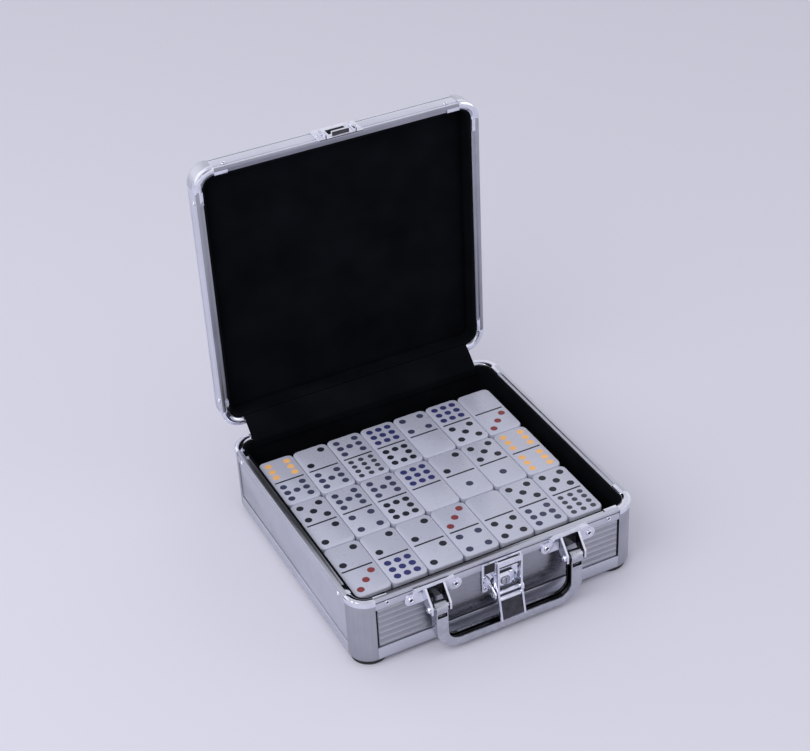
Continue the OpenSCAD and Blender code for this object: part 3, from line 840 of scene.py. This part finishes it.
# a block with rounded corners and edges
def tileMesh(size):
    corner, edge, steps = tileLook["corner"], tileLook["edge"], tileLook["cornerSteps"]
    hx, hy, hz = size / 2
    ring = []
    for quadrant, (sx, sy) in enumerate(((1, 1), (-1, 1), (-1, -1), (1, -1))):
        for k in range(steps + 1):
            a = math.pi / 2 * (quadrant + k / steps)
            ring.append((sx * (hx - corner) + corner * math.cos(a),
                         sy * (hy - corner) + corner * math.sin(a)))
    mid = tileLook["edgeShare"] * edge
    levels = [(-hz, edge), (-hz + mid, mid), (-hz + edge, 0),
              (hz - edge, 0), (hz - mid, mid), (hz, edge)]
    verts = [(x * (1 - inset / math.hypot(x, y)), y * (1 - inset / math.hypot(x, y)), z)
             for z, inset in levels for x, y in ring]
    count = len(ring)
    faces = []
    for level in range(len(levels) - 1):
        for i in range(count):
            a, b = level * count + i, level * count + (i + 1) % count
            faces.append((a, b, b + count, a + count))
    faces.append(tuple(range(count))[::-1])
    faces.append(tuple((len(levels) - 1) * count + i for i in range(count)))
    mesh = meshFrom("oneTile", verts, faces)
    smoothFaces(mesh, 50)
    return mesh


# something on each point, turned by the point's own angle
def turnedTree(name, *inputs):
    tree, start, end = newTree(name, *inputs, ("Finish", "NodeSocketMaterial", None))
    place = tree.nodes.new("GeometryNodeInstanceOnPoints")
    tree.links.new(start.outputs["Geometry"], place.inputs["Points"])
    turn = tree.nodes.new("ShaderNodeCombineXYZ")
    tree.links.new(readAttribute(tree, "turn", "FLOAT"), turn.inputs["Z"])
    tree.links.new(turn.outputs["Vector"], place.inputs["Rotation"])
    tree.links.new(coated(tree, start, place.outputs["Instances"]), end.inputs["Geometry"])
    return tree, start, place


def tileTree():
    tree, start, place = turnedTree("tileRows", ("Tile", "NodeSocketObject", None))
    source = tree.nodes.new("GeometryNodeObjectInfo")
    tree.links.new(start.outputs["Tile"], source.inputs["Object"])
    tree.links.new(source.outputs["Geometry"], place.inputs["Instance"])
    return tree


def inkTree(name, isRound):
    tree, start, place = turnedTree(name,
                                    ("Width", "NodeSocketFloat", 4 * mm),
                                    ("Length", "NodeSocketFloat", 4 * mm),
                                    ("Rise", "NodeSocketFloat", tileLook["inkRise"]))
    if isRound:
        mark = addNode(tree, "GeometryNodeMeshCylinder", Vertices=tileLook["pipSides"],
                       Radius=0.5, Depth=1)
    else:
        mark = tree.nodes.new("GeometryNodeMeshCube")
    size = tree.nodes.new("ShaderNodeCombineXYZ")
    for label, axis in (("Width", "X"), ("Length", "Y"), ("Rise", "Z")):
        tree.links.new(start.outputs[label], size.inputs[axis])
    tree.links.new(mark.outputs["Mesh"], place.inputs["Instance"])
    tree.links.new(size.outputs["Vector"], place.inputs["Scale"])
    return tree


def turnedPoints(name, spots):
    mesh = meshFrom(name, [spot[:3] for spot in spots], [])
    turns = mesh.attributes.new("turn", "FLOAT", "POINT")
    turns.data.foreach_set("value", [spot[3] for spot in spots])
    return mesh


# where each tile of a layer lies, with the small shift and turn of tiles put in by hand
def tileSpots(layer):
    chance = random.Random(layer)
    shift, turn = tileLook["shift"], tileLook["turn"]
    boxes = sorted(solidBoxes("tile_layer_%d" % layer), key=lambda b: (-round(b[0].y, 3), b[0].x))
    return [((a.x + b.x) / 2 + chance.uniform(-shift, shift),
             (a.y + b.y) / 2 + chance.uniform(-shift, shift),
             (a.z + b.z) / 2, chance.uniform(-turn, turn)) for a, b in boxes]


low, high = solidBoxes("tile_layer_4")[0]
tileSize, tileTop = high - low, high.z
oneTile = linkMesh(tileMesh(tileSize), "oneTile")
tileRows = tileTree()
for layer in (1, 2, 3, 4):
    name = "tileLayer%d" % layer
    pieces = runTree(name, turnedPoints(name, tileSpots(layer)), tileRows,
                     {"Tile": oneTile, "Finish": tileWhite})
    settle(pieces, "base", slotOf["tile_layer_4"], "tile_layer_%d" % layer)
bpy.data.objects.remove(oneTile)

# (far half, near half) of each top tile, in rows from the hinge to the front, left to right
topFaces = [
    (6, 7), (2, 7), (7, 12), (9, 8), (4, 0), (9, 5), (0, 3),
    (5, 2), (7, 4), (7, 8), (9, 0), (2, 1), (5, 1), (6, 6),
    (2, 3), (2, 9), (2, 2), (3, 4), (0, 5), (5, 7), (5, 12),
]
inkColours = {
    "Black": (0.010, 0.011, 0.020),
    "Slate": (0.035, 0.040, 0.085),
    "Grey": (0.040, 0.042, 0.058),
    "Navy": (0.022, 0.026, 0.120),
    "Red": (0.20, 0.035, 0.040),
    "Orange": (0.80, 0.43, 0.16),
}
inks = {name: plainPlastic("ink" + name, colour,
                           tuple(tileLook["inkLighter"] * part for part in colour),
                           tileLook["inkRough"])
        for name, colour in inkColours.items()}
# number: ink, pip width, reach across and along as shares of the tile's width
pipLook = {
    1: ("Slate", 5.0 * mm, 0.27, 0.27), 2: ("Black", 5.0 * mm, 0.27, 0.27),
    3: ("Red", 4.9 * mm, 0.27, 0.27), 4: ("Slate", 4.9 * mm, 0.27, 0.27),
    5: ("Black", 4.9 * mm, 0.27, 0.27), 6: ("Orange", 4.9 * mm, 0.27, 0.27),
    7: ("Slate", 4.7 * mm, 0.275, 0.275), 8: ("Black", 4.7 * mm, 0.275, 0.275),
    9: ("Navy", 4.7 * mm, 0.275, 0.275), 12: ("Grey", 3.9 * mm, 0.29, 0.33),
}


# places of the pips on a half, from -1 to 1 each way
def pipSpots(number):
    if number == 12:
        return [(x, y) for x in (-1, 0, 1) for y in (-1, -1 / 3, 1 / 3, 1)]
    spots = [(0, 0)] if number % 2 else []
    for least, pair in ((2, [(-1, -1), (1, 1)]), (4, [(-1, 1), (1, -1)]), (6, [(-1, 0), (1, 0)]),
                        (8, [(0, -1), (0, 1)])):
        if number >= least:
            spots += pair
    return spots


pipMarks, barMarks = inkTree("pipMarks", True), inkTree("barMarks", False)
barSpots, pipGroups = [], {}
for (x, y, _, turn), halves in zip(tileSpots(4), topFaces):
    barSpots.append((x, y, tileTop, turn))
    for number, half in zip(halves, (1, -1)):
        if number == 0:
            continue
        _, wide, across, along = pipLook[number]
        for u, v in pipSpots(number):
            offset = Vector((u * across * tileSize.x,
                             half * tileSize.y / 4 + v * along * tileSize.x))
            offset.rotate(Matrix.Rotation(turn, 2))
            pipGroups.setdefault(number, []).append((x + offset.x, y + offset.y, tileTop, turn))
bars = runTree("tileBars", turnedPoints("tileBars", barSpots), barMarks, {
    "Width": tileSize.x * tileLook["barWide"], "Length": tileLook["barThick"],
    "Rise": tileLook["inkRise"], "Finish": inks["Black"]})
settle(bars, "base", slotOf["tile_layer_4"])
for number, spots in sorted(pipGroups.items()):
    name = "pips%d" % number
    ink, wide = pipLook[number][:2]
    pips = runTree(name, turnedPoints(name, spots), pipMarks, {
        "Width": wide, "Length": wide, "Rise": tileLook["inkRise"], "Finish": inks[ink]})
    settle(pips, "base", slotOf["tile_layer_4"])
print("tiles ready:", len(barSpots), "faces on top")


# finish, edge radius and steps of each piece of hardware
hardwareEdge = {
    "handle": (handlePlate, 0.9 * mm, 4),
    "handle_bracket_left": (brightPlate, 0.28 * mm, 2),
    "handle_bracket_right": (brightPlate, 0.28 * mm, 2),
    "handle_pins": (brightPlate, 0.15 * mm, 2),
    "latch_plate": (brightPlate, 0.25 * mm, 2),
    # a black pad in the latch plate's window; its black also stands in for the window's shade
    "latch_window_pad": (blackRubber, 0.1 * mm, 2),
    "lock_body": (brightPlate, 0.4 * mm, 3),
    "lock_barrel": (lockNickel, 0.25 * mm, 2),
    "latch_pin": (brightPlate, 0.15 * mm, 2),
    "latch_rocker": (brightPlate, 0.3 * mm, 3),
    "lid_catch": (brightPlate, 0.22 * mm, 2),
    "hinge_base_leaf_left": (hingeSteel, 0.2 * mm, 2),
    "hinge_base_leaf_right": (hingeSteel, 0.2 * mm, 2),
    "hinge_lid_leaf_left": (hingeSteel, 0.2 * mm, 2),
    "hinge_lid_leaf_right": (hingeSteel, 0.2 * mm, 2),
    "hinge_pins": (hingeSteel, 0.15 * mm, 2),
}
hardware = {node: softened(node, *look) for node, look in hardwareEdge.items()}
# the catch stands a hair clear of the base's rim when the lid is shut
catchClear = 0.03 * mm
hardware["lid_catch"].data.transform(Matrix.Translation((0, 0, catchClear)))

handleShade = {
    "armWide": 8 * mm,
    "barHigh": 5.4 * mm,
    "bendRadius": 8.5 * mm,
    "grooveWide": 4.2 * mm,
    "grooveDeep": 2.4 * mm,
    "grooveSlack": (0.5 * mm, 0.15 * mm),       # to each side and outward
    "notch": (6.4 * mm, 3.1 * mm),      # its lower and upper end, below the handle's pins
    "notchDepth": (0.35 * mm, 2.3 * mm),        # behind the handle's outer face
}


# inside the handle's open middle, or in the groove round it
def inHandleGroove(centre, normal):
    low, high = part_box("handle")
    grow, (sideSlack, slack) = handleShade["grooveDeep"], handleShade["grooveSlack"]
    halfWide = high.x - handleShade["armWide"] + grow
    bottom = low.z + handleShade["barHigh"] - grow
    radius = handleShade["bendRadius"] + grow
    if abs(centre.y - (low.y + high.y) / 2) > handleShade["grooveWide"] / 2 + sideSlack:
        return False
    dx, dz = abs(centre.x) - (halfWide - radius), bottom + radius - centre.z
    if dx > 0 and dz > 0:
        return math.hypot(dx, dz) < radius + slack
    return dx < radius + slack and dz < radius + slack


def inHandleNotch(centre, normal):
    low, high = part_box("handle")
    pinZ = high.z - handleShade["armWide"] / 2
    shallow, deep = handleShade["notchDepth"]
    return (low.y + shallow < centre.y < low.y + deep
            and pinZ - handleShade["notch"][0] < centre.z < pinZ - handleShade["notch"][1])


# painted shade inside the handle's groove and notch
paintWhere(hardware["handle"], shadedPlate,
           lambda centre, normal: inHandleGroove(centre, normal) or inHandleNotch(centre, normal))

# painted shade on the recessed thumb plate, between the bright edges of the rocker
rockerLow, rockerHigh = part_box("latch_rocker")
thumbShade = {"flange": 1.35 * mm, "roll": 12 * mm}     # the roll's underside, above the tip
paintWhere(hardware["latch_rocker"], shadedPlate, lambda centre, normal: (
    abs(centre.x) < rockerHigh.x - thumbShade["flange"]
    and centre.z < rockerLow.z + thumbShade["roll"]))

# painted shade on the back of each handle bracket, between its cheeks and below the ledge
cheekShade = {"halfWide": 5.6 * mm, "slack": 0.05 * mm, "ledge": 2.0 * mm}
for node in ("handle_bracket_left", "handle_bracket_right"):
    low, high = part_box(node)
    middle = (low.x + high.x) / 2
    for side in (-1, 1):
        splitAt(hardware[node], 0, middle + side * cheekShade["halfWide"])
    paintWhere(hardware[node], shadedPlate, lambda centre, normal: (
        abs(centre.x - middle) < cheekShade["halfWide"] + cheekShade["slack"]
        and centre.z < high.z - cheekShade["ledge"]))

# painted shade in the slot in the catch and in the rail behind it, and on the lug's front face
slotShade = {
    "halfWide": 6.6 * mm,
    "front": 101.4 * mm,
    "back": 108.6 * mm,
    "lugHalf": 7.2 * mm,
    "lugRise": 1.2 * mm,        # above the lid's front rail
}


def inCatchSlot(centre, normal):
    return (abs(centre.x) < slotShade["halfWide"] and normal.z < 0.5
            and slotShade["front"] < centre.y < slotShade["back"])


def onLug(centre, normal):
    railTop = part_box("lid_rail_front")[1].z
    return (normal.y < -0.5 and centre.z > railTop + slotShade["lugRise"]
            and abs(centre.x) < slotShade["lugHalf"])


paintWhere(hardware["lid_catch"], seamGrime, inCatchSlot)
paintWhere(hardware["lid_catch"], shadedPlate, onLug)
paintWhere(bpy.data.objects["lidRailFront"], seamGrime, inCatchSlot)

# painted shade in the hollow ends of the pins, within the given radius
for node, hollow in (("handle_pins", 1.035 * mm), ("latch_pin", 0.9 * mm)):
    low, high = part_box(node)
    axis = (low + high) / 2
    paintWhere(hardware[node], seamGrime, lambda centre, normal: (
        abs(normal.x) > 0.9
        and math.hypot(centre.y - axis.y, centre.z - axis.z) < hollow))
print("hardware ready")


studio = {
    "floorColour": (0.68, 0.67, 0.75),
    "floorRough": 0.75,
    "floorSize": 6.0,
    "softTop": (0.77, 0.78, 0.84),      # what lights the object
    "softSide": (0.36, 0.365, 0.40),
    "seenTop": (0.66, 0.66, 0.72),      # what the camera and the metal see
    "seenSide": (0.92, 0.92, 0.97),
    "darkSide": (0.09, 0.09, 0.11),     # the unlit end of the studio, over the camera
    "darkWay": (-0.31, -0.65, 0.69),
    "darkEdge": (0.84, 0.96),           # cosines from its way where the dark begins and is full
    "topFrom": 0.9,                     # height of a ray from which the top colours hold
    # place, point aimed at, size and power of each soft lamp
    "keyLamp": ((-1.15, -0.5, 1.35), (0, 0, 0.08), (1.7, 1.3), 14.0),
    "fillLamp": ((1.3, -0.9, 0.8), (0, 0, 0.08), (1.2, 1.2), 2.5),
    "backLamp": ((-0.9, 1.2, 1.0), (0, 0, 0.1), (1.6, 1.2), 2.0),
}

floorMat, _, floorShader = newMaterial("paleFloor")
floorShader.inputs["Base Color"].default_value = (*studio["floorColour"], 1)
floorShader.inputs["Roughness"].default_value = studio["floorRough"]
half = studio["floorSize"] / 2
floor = linkMesh(meshFrom("floor", [(-half, -half, 0), (half, -half, 0), (half, half, 0),
                                    (-half, half, 0)], [(0, 1, 2, 3)]), "floor")
paint(floor, floorMat)

world = bpy.data.worlds.new("studio")
bpy.context.scene.world = world
world.use_nodes = True
sky = world.node_tree
softLight = sky.nodes["Background"]
upward = addNode(sky, "ShaderNodeTexCoord")
split = addNode(sky, "ShaderNodeSeparateXYZ")
sky.links.new(upward.outputs["Generated"], split.inputs["Vector"])
height = toRange(sky, split.outputs["Z"], 0, 1, 0.0, studio["topFrom"])
sky.links.new(tint(sky, height, studio["softSide"], studio["softTop"]), softLight.inputs["Color"])
seen = addNode(sky, "ShaderNodeBackground", Strength=1.0)
toDark = addNode(sky, "ShaderNodeVectorMath", operation="DOT_PRODUCT")
sky.links.new(upward.outputs["Generated"], toDark.inputs[0])
toDark.inputs[1].default_value = studio["darkWay"]
seenSky = tint(sky, height, studio["seenSide"], studio["seenTop"])
unlit = addNode(sky, "ShaderNodeMix", data_type="RGBA")
unlit.inputs["B"].default_value = (*studio["darkSide"], 1)
darkness = toRange(sky, toDark.outputs["Value"], 0, 1, *studio["darkEdge"])
sky.links.new(darkness, unlit.inputs["Factor"])
sky.links.new(seenSky, unlit.inputs["A"])
sky.links.new(unlit.outputs["Result"], seen.inputs["Color"])
# seen directly, in metal and through clear things, the backdrop is the seen one
ray = addNode(sky, "ShaderNodeLightPath")
direct = addNode(sky, "ShaderNodeMath", operation="MAXIMUM")
looked = addNode(sky, "ShaderNodeMath", operation="MAXIMUM")
sky.links.new(ray.outputs["Is Camera Ray"], direct.inputs[0])
sky.links.new(ray.outputs["Is Glossy Ray"], direct.inputs[1])
sky.links.new(direct.outputs[0], looked.inputs[0])
sky.links.new(ray.outputs["Is Transmission Ray"], looked.inputs[1])
pick = addNode(sky, "ShaderNodeMixShader")
sky.links.new(looked.outputs[0], pick.inputs["Fac"])
sky.links.new(softLight.outputs["Background"], pick.inputs[1])
sky.links.new(seen.outputs["Background"], pick.inputs[2])
sky.links.new(pick.outputs["Shader"], sky.nodes["World Output"].inputs["Surface"])


def softLamp(name, place, target, size, power):
    light = bpy.data.lights.new(name, "AREA")
    light.shape = "RECTANGLE"
    light.size, light.size_y = size
    light.energy = power
    lamp = bpy.data.objects.new(name, light)
    lamp.location = place
    lamp.rotation_euler = (Vector(target) - Vector(place)).to_track_quat("-Z", "Y").to_euler()
    bpy.context.scene.collection.objects.link(lamp)


for name in ("keyLamp", "fillLamp", "backLamp"):
    softLamp(name, *studio[name])

photoView = {
    "azimuth": 25.4,     # degrees, from the front towards the left
    "elevation": 34.4,
    "roll": -3.1,
    "distance": 1.115,
    "aim": (0.0, 0.022, 0.112),
    "focalPixels": 1730,
    "imageWidth": 810,
    "sensor": 36,        # mm
}
a, e = math.radians(photoView["azimuth"]), math.radians(photoView["elevation"])
backward = Vector((-math.sin(a) * math.cos(e), -math.cos(a) * math.cos(e), math.sin(e)))
cameraData = bpy.data.cameras.new("photoCamera")
cameraData.sensor_width = photoView["sensor"]
cameraData.lens = photoView["focalPixels"] * photoView["sensor"] / photoView["imageWidth"]
camera = bpy.data.objects.new("photoCamera", cameraData)
camera.location = Vector(photoView["aim"]) + backward * photoView["distance"]
look = (-backward).to_track_quat("-Z", "Y").to_matrix()
camera.matrix_world = (Matrix.Translation(camera.location)
                       @ (look @ Matrix.Rotation(math.radians(photoView["roll"]), 3, "Z")).to_4x4())
bpy.context.scene.collection.objects.link(camera)
bpy.context.scene.camera = camera
bpy.context.scene.view_settings.view_transform = "Standard"

print("stage ready")
